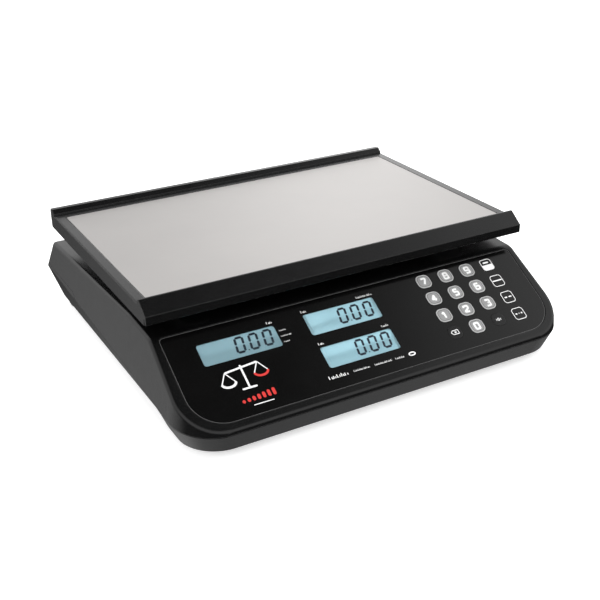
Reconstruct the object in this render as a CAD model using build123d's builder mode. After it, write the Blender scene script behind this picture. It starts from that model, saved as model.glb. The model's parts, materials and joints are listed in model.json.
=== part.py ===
from build123d import *
import math
import os

# Price-computing counter scale. Millimetres, X to the right, Y to the back, Z up.
# The origin is on the counter, under the middle of the case.

os.makedirs("parts", exist_ok=True)

# Case
case_half = 172.0
case_front = -163.5
case_rear = 162.5
case_wall = 2.6
floor_z = 7.5
rim_radius = 3.2
wall_draft = 6.3
deck_front = (-46.0, 73.5)
deck_rear = (144.0, 65.0)
crease_front_z = 22.5
crease_rear_z = 37.0
front_corner = 34.0
floor_half = 163.0
chin_half = 165.3
chin_front = -158.0
chin_corner = 31.0
chin_swell = (-80.0, -112.0)
floor_rear = 150.0
overshoot = 10.0
shoulder_radius = 14.0
deck_front_radius = 20.0
deck_rear_radius = 4.0
upper_wall_height = 60.0

# How far cuts run past the material: past a thin wall, and past everything else
skim = 1.0
beyond = 3.0

# Parting line between the two case halves
seam_gap = 0.3
seam_step_y = (80.0, 87.0)
seam_rear_z = 38.6
tongue_height = 3.0
tongue_thickness = 1.2

# Console, a plane that slopes up to the back
console_slope = 31.15
console_y = -142.4
console_z = 38.1
rim_proud = 0.4
overlay_half = 161.0
overlay_t = (-17.7, 62.2)
overlay_thickness = 0.8
overlay_corner = 27.0
overlay_top_corner = 4.0
overlay_clearance = 0.2
console_shoulder_t = 64.0
backing_bottom = -3.8
backing_margin = (1.0, 5.0)

# Keys: 13 mm pads on stems, four columns by four rows
key_columns = (67.5, 89.4, 111.3, 132.4)
key_pitch = 17.23
digit_key = (13.0, 12.5, 4.6)
plain_key = (12.0, 11.6, 4.4)
function_key = (11.6, 11.6, 2.8)
key_gap = 0.15
key_proud = 0.2
key_thickness = 1.2
key_pocket = 1.9
stem_radius = 4.0
stem_bottom = -4.2
stem_hole_radius = 4.15
dome_radius = 4.5
dome_height = 0.8
dome_taper = 50.0
keypad_board_top = -5.6
board_thickness = 1.6

# Displays on the console: left, right, lower and upper edges along the slope
weight_window = (-136.8, -72.6, 30.0, 48.9)
price_window = (-46.9, 16.8, 31.1, 50.7)
total_window = (-46.9, 16.8, 0.8, 19.8)
window_corner = 2.2
window_clearance = 0.1
lcd_margin = (2.5, 3.6)
lcd_clearance = 0.25
lcd_thickness = 2.6
backlight_thickness = 6.4
display_board_top = -10.0

# Weighing tray
tray_half = 170.0
tray_front = -93.4
tray_rear = 133.0
pan_half = 162.0
pan_front = -78.6
pan_rear = 114.6
pan_top = 97.0
pan_thickness = 1.0
pan_gap = 0.4
tray_deck_bottom = 92.2
guard_inner_front = -78.6
guard_inner_rear = 122.8
skirt_bottom = 83.6
skirt_thickness = 3.0

# Load path
tray_centre_y = 20.0
chassis_z = 17.0
chassis_thickness = 3.0
spacer_thickness = 4.0
cell_size = (130.0, 30.0, 22.0)
cell_bore = 8.0
cell_bore_offset = 14.0
cell_slot = 5.0
cell_screws = (42.0, 58.0)
spider_z = (80.0, 88.0)
spider_reach = (120.0, 80.0)
spider_arm = 24.0
cushion_radius = 8.9
cushion_socket = 2.0
screw_radius = 3.0
thread_clearance = 0.1
thread_fit = 0.05
stop_gap = 0.6

# Feet
rear_feet = (147.0, 140.0)
front_feet = (128.0, -118.0)
foot_radius = 14.0
foot_pad_height = 2.5
foot_disc_top = 6.4
stud_radius = 4.0
stud_top = 30.0
stud_clearance = 0.1

# Fasteners of the case
case_screw_x = 152.0
case_screw_y = (-105.0, 5.0, 112.0)
column_radius = 5.0
column_bottom = 14.0
case_screw_radius = 1.6

# Battery: a 6 V block lying on its side, over its own door
battery_size = (101.0, 70.0, 47.0)
battery_centre = (-89.5, -49.0)
door_size = (112.0, 80.0)

# Power switch and inlet, on the undercut lower back
switch_x = 96.0
inlet_x = 62.0

slope_sin = math.sin(math.radians(console_slope))
slope_cos = math.cos(math.radians(console_slope))
console = Plane(
    origin=(0, console_y, console_z), x_dir=(1, 0, 0), z_dir=(0, -slope_sin, slope_cos)
)
crease_slope = (crease_rear_z - crease_front_z) / (case_rear - case_front)
crease_mid_z = crease_front_z - crease_slope * case_front
crease = Plane(origin=(0, 0, crease_mid_z), x_dir=(1, 0, 0), z_dir=(0, -crease_slope, 1))


def console_point(t, n):
    # Y and Z of a point t up the console's slope and n above its surface.
    y = console_y + t * slope_cos - n * slope_sin
    z = console_z + t * slope_sin + n * slope_cos
    return (y, z)


def crease_height(y):
    # Height of the case's widest line.
    return crease_mid_z + crease_slope * y


def plan_outline(half, chin, front, corner, inset):
    # Plan shape of the case, straight to the rear and swelling to the chin at the front.
    with BuildSketch() as outline:
        with BuildLine():
            Line((0, case_rear + overshoot - inset), (half - inset, case_rear + overshoot - inset))
            Line((half - inset, case_rear + overshoot - inset), (half - inset, chin_swell[0]))
            if chin == half:
                Line((half - inset, chin_swell[0]), (chin - inset, chin_swell[1]))
            else:
                Spline(
                    (half - inset, chin_swell[0]),
                    (chin - inset, chin_swell[1]),
                    tangents=[(0, -1), (0, -1)],
                )
            Line((chin - inset, chin_swell[1]), (chin - inset, front + corner))
            RadiusArc((chin - inset, front + corner), (chin - corner, front + inset), corner - inset)
            Line((chin - corner, front + inset), (0, front + inset))
            mirror(about=Plane.YZ)
        make_face()
    return outline.sketch


def side_outline(inset):
    # Side shape of the case: console slope, shoulder, deck, and the pointed back.
    front = case_front - overshoot
    front_z = console_point((front - console_y) / slope_cos, 0)[1]
    lift = rim_proud / slope_cos
    shoulder = console_point(console_shoulder_t, rim_proud)
    with BuildSketch() as outline:
        with BuildLine():
            Polyline(
                (front, floor_z),
                (front, front_z + lift),
                shoulder,
                deck_front,
                deck_rear,
                (case_rear, crease_rear_z),
                (floor_rear, floor_z),
                close=True,
            )
        make_face()
        fillet(outline.vertices().sort_by_distance((*shoulder, 0))[0], radius=shoulder_radius)
        fillet(outline.vertices().sort_by_distance((*deck_front, 0))[0], radius=deck_front_radius)
        fillet(outline.vertices().sort_by_distance((*deck_rear, 0))[0], radius=deck_rear_radius)
        if inset:
            offset(amount=-inset, kind=Kind.INTERSECTION)
    return outline.sketch


def open_edges(faces):
    # Edges that only one of these faces has.
    edges = [edge for face in faces for edge in face.edges()]
    return ShapeList(
        [edge for edge in edges if sum(edge.is_same(other) for other in edges) == 1]
    )


def case_form(inset, rim=0.0):
    # The whole case as one solid, pulled in by inset, with its top edges rounded by rim.
    with BuildPart() as form:
        front = case_front + inset
        rear = case_rear + overshoot - inset
        with BuildSketch(crease) as widest:
            with Locations((0, (front + rear) / 2)):
                Rectangle(2 * (case_half - inset), rear - front)
            fillet(widest.vertices().sort_by(Axis.Y)[:2], radius=front_corner - inset)
        extrude(amount=upper_wall_height, taper=wall_draft)
        with BuildSketch(crease):
            add(plan_outline(case_half, case_half, case_front, front_corner, inset))
        with BuildSketch(Plane.XY.offset(floor_z)):
            add(plan_outline(floor_half, chin_half, chin_front, chin_corner, inset))
        loft(ruled=True)
        with BuildSketch(Plane.YZ):
            add(side_outline(inset))
        extrude(amount=2 * case_half, both=True, mode=Mode.INTERSECT)
        if rim:
            tops = form.faces().filter_by(lambda face: face.normal_at(face.center()).Z > 0.4)
            rim_edges = open_edges(tops).filter_by(lambda edge: abs(edge.center().X) > 1 or edge.center().Y < 0)
            fillet(rim_edges, radius=rim)
    return form.part


def below_seam(lift):
    # Everything under the parting line, raised by lift.
    reach = 2 * case_half
    step_front, step_rear = seam_step_y
    with BuildPart() as block:
        with BuildSketch(Plane.YZ) as outline:
            with BuildLine():
                Polyline(
                    (-reach, -reach),
                    (-reach, crease_height(-reach) + lift),
                    (step_front, crease_height(step_front) + lift),
                    (step_rear, seam_rear_z + lift),
                    (reach, seam_rear_z + lift),
                    (reach, -reach),
                    close=True,
                )
            make_face()
        extrude(amount=reach, both=True)
    return block.part


outer = case_form(0.0, rim_radius)
hollow = case_form(case_wall)

windows = {"weight": weight_window, "unit_price": price_window, "total": total_window}
key_rows = (
    ("key_clear", "key_0", "key_zero", "key_f4"),
    ("key_1", "key_2", "key_3", "key_f3"),
    ("key_4", "key_5", "key_6", "key_f2"),
    ("key_7", "key_8", "key_9", "key_f1"),
)
key_places = {
    name: (key_columns[column], row * key_pitch)
    for row, names in enumerate(key_rows)
    for column, name in enumerate(names)
}


def key_size(name):
    if name in ("key_clear", "key_zero"):
        return plain_key
    if name.startswith("key_f"):
        return function_key
    return digit_key


def key_sketch(gap):
    # All the key outlines, each grown by gap, in console coordinates.
    with BuildSketch() as outlines:
        for name, place in key_places.items():
            width, height, corner = key_size(name)
            with Locations(place):
                RectangleRounded(width + 2 * gap, height + 2 * gap, corner + gap)
    return outlines.sketch


def window_sketch(grow, corner):
    # The three display rectangles, each grown by grow, in console coordinates.
    with BuildSketch() as outlines:
        for left, right, low, high in windows.values():
            with Locations(((left + right) / 2, (low + high) / 2)):
                RectangleRounded(right - left + 2 * grow, high - low + 2 * grow, corner)
    return outlines.sketch


def lcd_sketch(grow):
    # The outlines of the three display glasses, each grown by grow, in console coordinates.
    with BuildSketch() as outlines:
        for left, right, low, high in windows.values():
            width = right - left + 2 * (lcd_margin[0] + grow)
            height = high - low + 2 * (lcd_margin[1] + grow)
            with Locations(((left + right) / 2, (low + high) / 2)):
                Rectangle(width, height)
    return outlines.sketch


def overlay_sketch(grow):
    # The panel's outline: wide lower corners, tight upper corners.
    width = 2 * (overlay_half + grow)
    height = overlay_t[1] - overlay_t[0] + 2 * grow
    with BuildSketch() as outline:
        with Locations((0, (overlay_t[0] + overlay_t[1]) / 2)):
            Rectangle(width, height)
        fillet(outline.vertices().sort_by(Axis.Y)[:2], radius=overlay_corner + grow)
        fillet(outline.vertices().sort_by(Axis.Y)[-2:], radius=overlay_top_corner + grow)
    return outline.sketch


# Plane of the customer's display, on the sloping back
back_rise = deck_rear[1] - crease_rear_z
back_run = case_rear - deck_rear[0]
back = Plane(
    origin=(0, (case_rear + deck_rear[0]) / 2, (crease_rear_z + deck_rear[1]) / 2),
    x_dir=(-1, 0, 0),
    z_dir=(0, back_rise, back_run),
)
customer_size = (250.0, 22.0)
customer_corner = 3.0
customer_columns = 78.0
customer_lcd = (68.0, 20.0)
customer_opening = (62.0, 15.0)
customer_lcd_top = -3.0
customer_board_top = -6.2

# Plane of the undercut lower back, at the switch; X runs to the left seen from the front
undercut = Plane(
    origin=(switch_x, (case_rear + floor_rear) / 2, (crease_rear_z + floor_z) / 2),
    x_dir=(-1, 0, 0),
    z_dir=(0, crease_rear_z - floor_z, floor_rear - case_rear),
)
inlet_offset = switch_x - inlet_x
switch_bezel = (24.0, 16.0, 1.6)
switch_barrel = (21.0, 13.4, 13.0)
switch_well = (18.2, 10.8, 9.5)
inlet_flange_radius = 7.5
inlet_barrel_radius = 5.5
inlet_bore_radius = 2.8
inlet_depth = 12.0
inlet_bore_depth = 9.0

deck_opening = (76.0, 48.0)
deck_opening_corner = 6.0
deck_cut = 20.0
boss_x = sum(cell_screws) / 2
vial_place = (128.0, -20.0)
vial_radius = 8.0
vial_z = (60.0, 71.0)
vial_wall = 2.0

display_board_x = (-146.0, 26.0)
display_board_t = (-4.0, 56.0)
keypad_board_x = (57.0, 143.0)
keypad_board_t = (-9.5, 60.5)
board_inset = 3.5
board_boss_radius = 3.0
pilot_radius = 1.0
pilot_depths = (6.0, 3.0, 12.0)


def board_holes(spans):
    # Places of a board's four corner holes.
    (left, right), (low, high) = spans
    return [
        (x, t)
        for x in (left + board_inset, right - board_inset)
        for t in (low + board_inset, high - board_inset)
    ]


display_holes = board_holes((display_board_x, display_board_t))
keypad_holes = board_holes((keypad_board_x, keypad_board_t))
case_screw_places = [(side * case_screw_x, y) for side in (-1, 1) for y in case_screw_y]
feet = {
    "front_left": (-front_feet[0], front_feet[1]),
    "front_right": front_feet,
    "rear_left": (-rear_feet[0], rear_feet[1]),
    "rear_right": rear_feet,
}

# Upper case: console, deck and walls in one moulding

with BuildPart() as fixings:
    with BuildSketch(console.offset(backing_bottom)):
        with Locations((0, (overlay_t[0] + overlay_t[1] + backing_margin[1] - backing_margin[0]) / 2)):
            Rectangle(2 * overlay_half, overlay_t[1] - overlay_t[0] - sum(backing_margin))
    extrude(amount=-backing_bottom - overlay_thickness)
    with BuildSketch(console.offset(backing_bottom)):
        with Locations(*keypad_holes):
            Circle(board_boss_radius)
    extrude(amount=keypad_board_top - backing_bottom)
    with BuildSketch(console.offset(backing_bottom)):
        with Locations(*display_holes):
            Circle(board_boss_radius)
    extrude(amount=display_board_top - backing_bottom)
    with BuildSketch(Plane.XY.offset(column_bottom)):
        with Locations(*case_screw_places):
            Circle(column_radius)
    extrude(amount=upper_wall_height)
    with BuildSketch(Plane.XY.offset(vial_z[0] - vial_wall)):
        with Locations(vial_place):
            Circle(vial_radius + vial_wall)
    extrude(amount=vial_z[1] - vial_z[0] + skim)
    add(outer, mode=Mode.INTERSECT)

with BuildPart() as upper_housing:
    add(outer)
    add(hollow, mode=Mode.SUBTRACT)
    add(below_seam(seam_gap / 2), mode=Mode.SUBTRACT)
    add(fixings.part)
    with BuildSketch(console.offset(-overlay_thickness)):
        add(overlay_sketch(overlay_clearance))
    extrude(amount=overlay_thickness + beyond, mode=Mode.SUBTRACT)
    with BuildSketch(console.offset(backing_bottom - skim)):
        add(lcd_sketch(lcd_clearance))
    extrude(amount=beyond - backing_bottom, mode=Mode.SUBTRACT)
    with BuildSketch(console.offset(-key_pocket)):
        add(key_sketch(2 * key_gap))
    extrude(amount=key_pocket, mode=Mode.SUBTRACT)
    with BuildSketch(console.offset(backing_bottom - skim)):
        with Locations(*key_places.values()):
            Circle(stem_hole_radius)
    extrude(amount=skim - backing_bottom, mode=Mode.SUBTRACT)
    with BuildSketch(console.offset(display_board_top)):
        with Locations(*display_holes):
            Circle(pilot_radius)
    extrude(amount=pilot_depths[0], mode=Mode.SUBTRACT)
    with BuildSketch(console.offset(keypad_board_top)):
        with Locations(*keypad_holes):
            Circle(pilot_radius)
    extrude(amount=pilot_depths[1], mode=Mode.SUBTRACT)
    with BuildSketch(Plane.XY.offset(column_bottom)):
        with Locations(*case_screw_places):
            Circle(case_screw_radius + thread_fit)
    extrude(amount=pilot_depths[2], mode=Mode.SUBTRACT)
    with BuildSketch(Plane.XY.offset(vial_z[0])):
        with Locations((boss_x, tray_centre_y)):
            RectangleRounded(*deck_opening, deck_opening_corner)
    extrude(amount=deck_cut, mode=Mode.SUBTRACT)
    with BuildSketch(Plane.XY.offset(vial_z[0])):
        with Locations(vial_place):
            Circle(vial_radius + thread_clearance)
    extrude(amount=deck_cut, mode=Mode.SUBTRACT)
    with BuildSketch(back.offset(-overlay_thickness)):
        RectangleRounded(
            customer_size[0] + 2 * overlay_clearance,
            customer_size[1] + 2 * overlay_clearance,
            customer_corner + overlay_clearance,
        )
    extrude(amount=overlay_thickness + beyond, mode=Mode.SUBTRACT)
    with BuildSketch(back.offset(-case_wall - beyond)):
        with GridLocations(customer_columns, 1, 3, 1):
            Rectangle(*customer_opening)
    extrude(amount=case_wall + 2 * beyond, mode=Mode.SUBTRACT)
upper_housing.part.label = "upper_housing"
export_step(upper_housing.part, "parts/upper_housing.step")

# Lower case: floor, tapered walls, pillars for the chassis

tongue_gap = 0.15
with BuildPart() as tongue_root:
    add(case_form(case_wall - tongue_gap))
    add(below_seam(-seam_gap / 2), mode=Mode.INTERSECT)

with BuildPart() as tongue:
    add(case_form(case_wall + tongue_gap))
    add(tongue_root.part)
    add(case_form(case_wall + tongue_gap + tongue_thickness), mode=Mode.SUBTRACT)
    add(below_seam(tongue_height), mode=Mode.INTERSECT)
    add(below_seam(-tongue_height), mode=Mode.SUBTRACT)
    with BuildSketch(Plane.XY.offset(floor_z)):
        with Locations((0, case_rear)):
            Rectangle(customer_size[0] + 2 * beyond, 2 * overshoot)
    extrude(amount=deck_rear[1], mode=Mode.SUBTRACT)

floor_top = floor_z + case_wall
head_radius = 3.6
head_height = 2.4
head_recess = 0.2
foot_pillar_radius = 8.5
stud_hole_clearance = 0.6
door_gap = 0.3
door_corner = 4.0
door_ledge = (4.0, 3.0)
with BuildPart() as lower_housing:
    add(outer)
    add(hollow, mode=Mode.SUBTRACT)
    add(below_seam(-seam_gap / 2), mode=Mode.INTERSECT)
    with BuildSketch(Plane.XY.offset(floor_z)):
        with Locations(*case_screw_places):
            Circle(column_radius + skim)
    extrude(amount=column_bottom - floor_z - thread_clearance)
    with BuildSketch(Plane.XY.offset(floor_z)):
        with Locations(*feet.values()):
            Circle(foot_pillar_radius)
    extrude(amount=chassis_z - floor_z)
    with BuildSketch(Plane.XY.offset(floor_z - skim)):
        with Locations(*feet.values()):
            Circle(stud_radius + stud_hole_clearance)
    extrude(amount=chassis_z, mode=Mode.SUBTRACT)
    with BuildSketch(Plane.XY.offset(floor_z - skim)):
        with Locations(*case_screw_places):
            Circle(case_screw_radius + door_gap)
    extrude(amount=column_bottom, mode=Mode.SUBTRACT)
    with BuildSketch(Plane.XY.offset(floor_z - skim)):
        with Locations(*case_screw_places):
            Circle(head_radius + door_gap)
    extrude(amount=skim + head_recess + head_height, mode=Mode.SUBTRACT)
    with BuildSketch(Plane.XY.offset(floor_z - skim)):
        with Locations(battery_centre):
            RectangleRounded(door_size[0] - 2 * door_ledge[0], door_size[1] - 2 * door_ledge[1], door_ledge[1])
    extrude(amount=case_wall + 2 * skim, mode=Mode.SUBTRACT)
    with BuildSketch(Plane.XY.offset(floor_z - skim)):
        with Locations(battery_centre):
            RectangleRounded(door_size[0] + 2 * door_gap, door_size[1] + 2 * door_gap, door_corner)
    extrude(amount=skim + case_wall / 2, mode=Mode.SUBTRACT)
    add(tongue.part)
    with BuildSketch(undercut.offset(-case_wall - beyond)):
        Rectangle(switch_barrel[0] + 2 * tongue_gap, switch_barrel[1] + 2 * tongue_gap)
        with Locations((inlet_offset, 0)):
            Circle(inlet_barrel_radius + tongue_gap)
    extrude(amount=case_wall + 2 * beyond, mode=Mode.SUBTRACT)
lower_housing.part.label = "lower_housing"
export_step(lower_housing.part, "parts/lower_housing.step")

grip_inset = 9.0
grip_pitch = 3.0
grip_groove = (30.0, 1.4, 0.6)
grip_depth = 0.6
with BuildPart() as battery_door:
    with BuildSketch(Plane.XY.offset(floor_z)):
        with Locations(battery_centre):
            RectangleRounded(*door_size, door_corner)
    extrude(amount=case_wall / 2 - thread_clearance)
    with BuildSketch(Plane.XY.offset(floor_z + case_wall / 2 - thread_clearance)):
        with Locations(battery_centre):
            RectangleRounded(door_size[0] - 2 * door_ledge[0] - skim, door_size[1] - 2 * door_ledge[1] - skim, door_ledge[1])
    extrude(amount=case_wall / 2)
    with BuildSketch(Plane.XY.offset(floor_z)):
        with Locations((battery_centre[0], battery_centre[1] - door_size[1] / 2 + grip_inset)):
            with GridLocations(1, grip_pitch, 1, 4):
                RectangleRounded(*grip_groove)
    extrude(amount=grip_depth, mode=Mode.SUBTRACT)
battery_door.part.label = "battery_door"
export_step(battery_door.part, "parts/battery_door.step")

screw_length = 14.0
cross_slot = (4.4, 0.8, 1.6)
with BuildPart() as housing_screws:
    with BuildSketch(Plane.XY.offset(floor_z + head_recess)):
        with Locations(*case_screw_places):
            Circle(head_radius)
    extrude(amount=head_height)
    with BuildSketch(Plane.XY.offset(floor_z + head_height)):
        with Locations(*case_screw_places):
            Circle(case_screw_radius)
    extrude(amount=screw_length)
    with BuildSketch(Plane.XY.offset(floor_z)):
        with Locations(*case_screw_places):
            Rectangle(cross_slot[0], cross_slot[1])
            Rectangle(cross_slot[1], cross_slot[0])
    extrude(amount=cross_slot[2], mode=Mode.SUBTRACT)
housing_screws.part.label = "housing_screws"
export_step(housing_screws.part, "parts/housing_screws.step")

# Console: printed panel, display windows, keys, boards

with BuildPart() as console_overlay:
    with BuildSketch(console.offset(-overlay_thickness)):
        add(overlay_sketch(0))
        add(window_sketch(0, window_corner), mode=Mode.SUBTRACT)
        add(key_sketch(key_gap), mode=Mode.SUBTRACT)
    extrude(amount=overlay_thickness)
console_overlay.part.label = "console_overlay"
export_step(console_overlay.part, "parts/console_overlay.step")

with BuildPart() as display_windows:
    with BuildSketch(console.offset(-overlay_thickness)):
        add(window_sketch(-window_clearance, window_corner))
    extrude(amount=overlay_thickness)
display_windows.part.label = "display_windows"
export_step(display_windows.part, "parts/display_windows.step")

for name, place in key_places.items():
    width, height, corner = key_size(name)
    with BuildPart() as key:
        with BuildSketch(console.offset(key_proud - key_thickness)):
            with Locations(place):
                RectangleRounded(width, height, corner)
        extrude(amount=key_thickness)
        fillet(key.faces().sort_by(Axis(console.origin, console.z_dir))[-1].edges(), radius=0.3)
        with BuildSketch(console.offset(stem_bottom)):
            with Locations(place):
                Circle(stem_radius)
        extrude(amount=key_proud - key_thickness - stem_bottom)
    key.part.label = name
    export_step(key.part, f"parts/{name}.step")

with BuildPart() as keypad_board:
    with BuildSketch(console.offset(keypad_board_top - board_thickness)):
        with Locations((sum(keypad_board_x) / 2, sum(keypad_board_t) / 2)):
            Rectangle(keypad_board_x[1] - keypad_board_x[0], keypad_board_t[1] - keypad_board_t[0])
        with Locations(*keypad_holes):
            Circle(pilot_radius + 0.2, mode=Mode.SUBTRACT)
    extrude(amount=board_thickness)
keypad_board.part.label = "keypad_board"
export_step(keypad_board.part, "parts/keypad_board.step")

with BuildPart() as keypad_domes:
    with BuildSketch(console.offset(keypad_board_top)):
        with Locations(*key_places.values()):
            Circle(dome_radius)
    extrude(amount=dome_height, taper=dome_taper)
keypad_domes.part.label = "keypad_domes"
export_step(keypad_domes.part, "parts/keypad_domes.step")

# The display glasses lie against the back of the panel and its windows
lcd_top = -overlay_thickness
for name, (left, right, low, high) in windows.items():
    with BuildPart() as lcd:
        with BuildSketch(console.offset(lcd_top - lcd_thickness)):
            with Locations(((left + right) / 2, (low + high) / 2)):
                Rectangle(right - left + 2 * lcd_margin[0], high - low + 2 * lcd_margin[1])
        extrude(amount=lcd_thickness)
    lcd.part.label = "lcd_" + name
    export_step(lcd.part, f"parts/lcd_{name}.step")

backlight_top = lcd_top - lcd_thickness
with BuildPart() as lcd_backlights:
    with BuildSketch(console.offset(backlight_top - backlight_thickness)):
        add(lcd_sketch(0))
    extrude(amount=backlight_thickness)
lcd_backlights.part.label = "lcd_backlights"
export_step(lcd_backlights.part, "parts/lcd_backlights.step")

with BuildPart() as display_board:
    with BuildSketch(console.offset(display_board_top - board_thickness)):
        with Locations((sum(display_board_x) / 2, sum(display_board_t) / 2)):
            Rectangle(display_board_x[1] - display_board_x[0], display_board_t[1] - display_board_t[0])
        with Locations(*display_holes):
            Circle(pilot_radius + 0.2, mode=Mode.SUBTRACT)
    extrude(amount=board_thickness)
    with BuildSketch(console.offset(display_board_top - board_thickness - 1.4)):
        with Locations((-80, 16), (-52, 16)):
            Rectangle(14, 10)
    extrude(amount=1.4)
display_board.part.label = "display_board"
export_step(display_board.part, "parts/display_board.step")

# Customer's display at the back

with BuildPart() as customer_window:
    with BuildSketch(back.offset(-overlay_thickness)):
        RectangleRounded(*customer_size, customer_corner)
    extrude(amount=overlay_thickness)
customer_window.part.label = "customer_window"
export_step(customer_window.part, "parts/customer_window.step")

with BuildPart() as customer_lcds:
    with BuildSketch(back.offset(customer_lcd_top - lcd_thickness)):
        with GridLocations(customer_columns, 1, 3, 1):
            Rectangle(*customer_lcd)
    extrude(amount=lcd_thickness)
customer_lcds.part.label = "customer_lcds"
export_step(customer_lcds.part, "parts/customer_lcds.step")

with BuildPart() as customer_board:
    with BuildSketch(back.offset(customer_board_top - board_thickness)):
        Rectangle(customer_size[0] - 4, customer_lcd[1] + 1)
    extrude(amount=board_thickness)
customer_board.part.label = "customer_board"
export_step(customer_board.part, "parts/customer_board.step")

# Chassis, load cell and platform

chassis_top = chassis_z + chassis_thickness
cell_z = chassis_top + spacer_thickness
cell_top = cell_z + cell_size[2]
main_board_centre = (86.0, -48.0)
main_board_size = (112.0, 76.0)
main_board_z = chassis_top + 4
main_board_holes = board_holes(
    (
        (main_board_centre[0] - main_board_size[0] / 2, main_board_centre[0] + main_board_size[0] / 2),
        (main_board_centre[1] - main_board_size[1] / 2, main_board_centre[1] + main_board_size[1] / 2),
    )
)

with BuildPart() as chassis_plate:
    with BuildSketch(Plane.XY.offset(chassis_z)):
        with Locations((0, 7)):
            RectangleRounded(310, 278, 12)
        with Locations(battery_centre):
            RectangleRounded(battery_size[0] + 5, battery_size[1] + 5, 4, mode=Mode.SUBTRACT)
        with Locations((0, 146)):
            Rectangle(250, 34, mode=Mode.SUBTRACT)
        with Locations((0, 88)):
            with GridLocations(120, 1, 2, 1):
                RectangleRounded(96, 60, 10, mode=Mode.SUBTRACT)
        with Locations(*case_screw_places):
            Circle(column_radius + 2, mode=Mode.SUBTRACT)
        with Locations(*feet.values()):
            Circle(stud_radius + stud_clearance, mode=Mode.SUBTRACT)
        with Locations(*[(-x, tray_centre_y) for x in cell_screws], (cell_screws[1], tray_centre_y)):
            Circle(screw_radius + thread_clearance, mode=Mode.SUBTRACT)
    extrude(amount=chassis_thickness)
    with BuildSketch(Plane.XY.offset(chassis_top)):
        with Locations(*main_board_holes):
            Circle(board_boss_radius)
    extrude(amount=main_board_z - chassis_top)
    with BuildSketch(Plane.XY.offset(chassis_top)):
        with Locations(*main_board_holes):
            Circle(pilot_radius)
    extrude(amount=main_board_z - chassis_top, mode=Mode.SUBTRACT)
chassis_plate.part.label = "chassis_plate"
export_step(chassis_plate.part, "parts/chassis_plate.step")


def spacer_block(centre_x, low):
    # Square shim with two screw holes, as long as the cell is wide.
    with BuildPart() as block:
        with BuildSketch(Plane.XY.offset(low)):
            with Locations((centre_x, tray_centre_y)):
                Rectangle(cell_size[1], cell_size[1])
            with Locations((centre_x - 8, tray_centre_y), (centre_x + 8, tray_centre_y)):
                Circle(screw_radius + thread_clearance, mode=Mode.SUBTRACT)
        extrude(amount=spacer_thickness)
    return block


load_cell_lower_spacer = spacer_block(-boss_x, chassis_top)
load_cell_lower_spacer.part.label = "load_cell_lower_spacer"
export_step(load_cell_lower_spacer.part, "parts/load_cell_lower_spacer.step")

load_cell_upper_spacer = spacer_block(boss_x, cell_top)
load_cell_upper_spacer.part.label = "load_cell_upper_spacer"
export_step(load_cell_upper_spacer.part, "parts/load_cell_upper_spacer.step")

with BuildPart() as load_cell:
    with BuildSketch(Plane.XY.offset(cell_z)):
        with Locations((0, tray_centre_y)):
            Rectangle(cell_size[0], cell_size[1])
        with Locations(*[(side * x, tray_centre_y) for side in (-1, 1) for x in cell_screws]):
            Circle(screw_radius + thread_clearance, mode=Mode.SUBTRACT)
    extrude(amount=cell_size[2])
    chamfer(load_cell.edges().filter_by(Axis.Z).group_by(SortBy.LENGTH)[-1].sort_by(Axis.X)[:2], length=1)
    with BuildSketch(Plane.XZ.offset(-tray_centre_y)):
        with Locations((-cell_bore_offset, cell_z + cell_size[2] / 2), (cell_bore_offset, cell_z + cell_size[2] / 2)):
            Circle(cell_bore)
        with Locations((0, cell_z + cell_size[2] / 2)):
            Rectangle(2 * cell_bore_offset, cell_slot)
    extrude(amount=cell_size[1], both=True, mode=Mode.SUBTRACT)
load_cell.part.label = "load_cell"
export_step(load_cell.part, "parts/load_cell.step")

socket_head = (5.0, 4.0)
socket_key = 2.4
with BuildPart() as load_cell_lower_screws:
    with BuildSketch(Plane.XY.offset(chassis_z - socket_head[1])):
        with Locations(*[(-x, tray_centre_y) for x in cell_screws]):
            Circle(socket_head[0])
            RegularPolygon(socket_key, 6, mode=Mode.SUBTRACT)
    extrude(amount=socket_head[1])
    with BuildSketch(Plane.XY.offset(chassis_z - 1.5)):
        with Locations(*[(-x, tray_centre_y) for x in cell_screws]):
            Circle(screw_radius)
    extrude(amount=22)
load_cell_lower_screws.part.label = "load_cell_lower_screws"
export_step(load_cell_lower_screws.part, "parts/load_cell_lower_screws.step")

upper_head_z = cell_top + spacer_thickness + 10
with BuildPart() as load_cell_upper_screws:
    with BuildSketch(Plane.XY.offset(upper_head_z)):
        with Locations(*[(x, tray_centre_y) for x in cell_screws]):
            Circle(socket_head[0])
            RegularPolygon(socket_key, 6, mode=Mode.SUBTRACT)
    extrude(amount=socket_head[1] + 1)
    with BuildSketch(Plane.XY.offset(upper_head_z + 1.5)):
        with Locations(*[(x, tray_centre_y) for x in cell_screws]):
            Circle(screw_radius)
    extrude(amount=-28)
load_cell_upper_screws.part.label = "load_cell_upper_screws"
export_step(load_cell_upper_screws.part, "parts/load_cell_upper_screws.step")

with BuildPart() as overload_stop:
    with BuildSketch(Plane.XY.offset(chassis_z - socket_head[1])):
        with Locations((cell_screws[1], tray_centre_y)):
            Circle(socket_head[0])
    extrude(amount=socket_head[1])
    with BuildSketch(Plane.XY.offset(chassis_z)):
        with Locations((cell_screws[1], tray_centre_y)):
            Circle(screw_radius)
    extrude(amount=cell_z - stop_gap - chassis_z)
    with BuildSketch(Plane.XY.offset(chassis_top)):
        with Locations((cell_screws[1], tray_centre_y)):
            RegularPolygon(5.5, 6)
    extrude(amount=2.4)
overload_stop.part.label = "overload_stop"
export_step(overload_stop.part, "parts/overload_stop.step")

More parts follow.
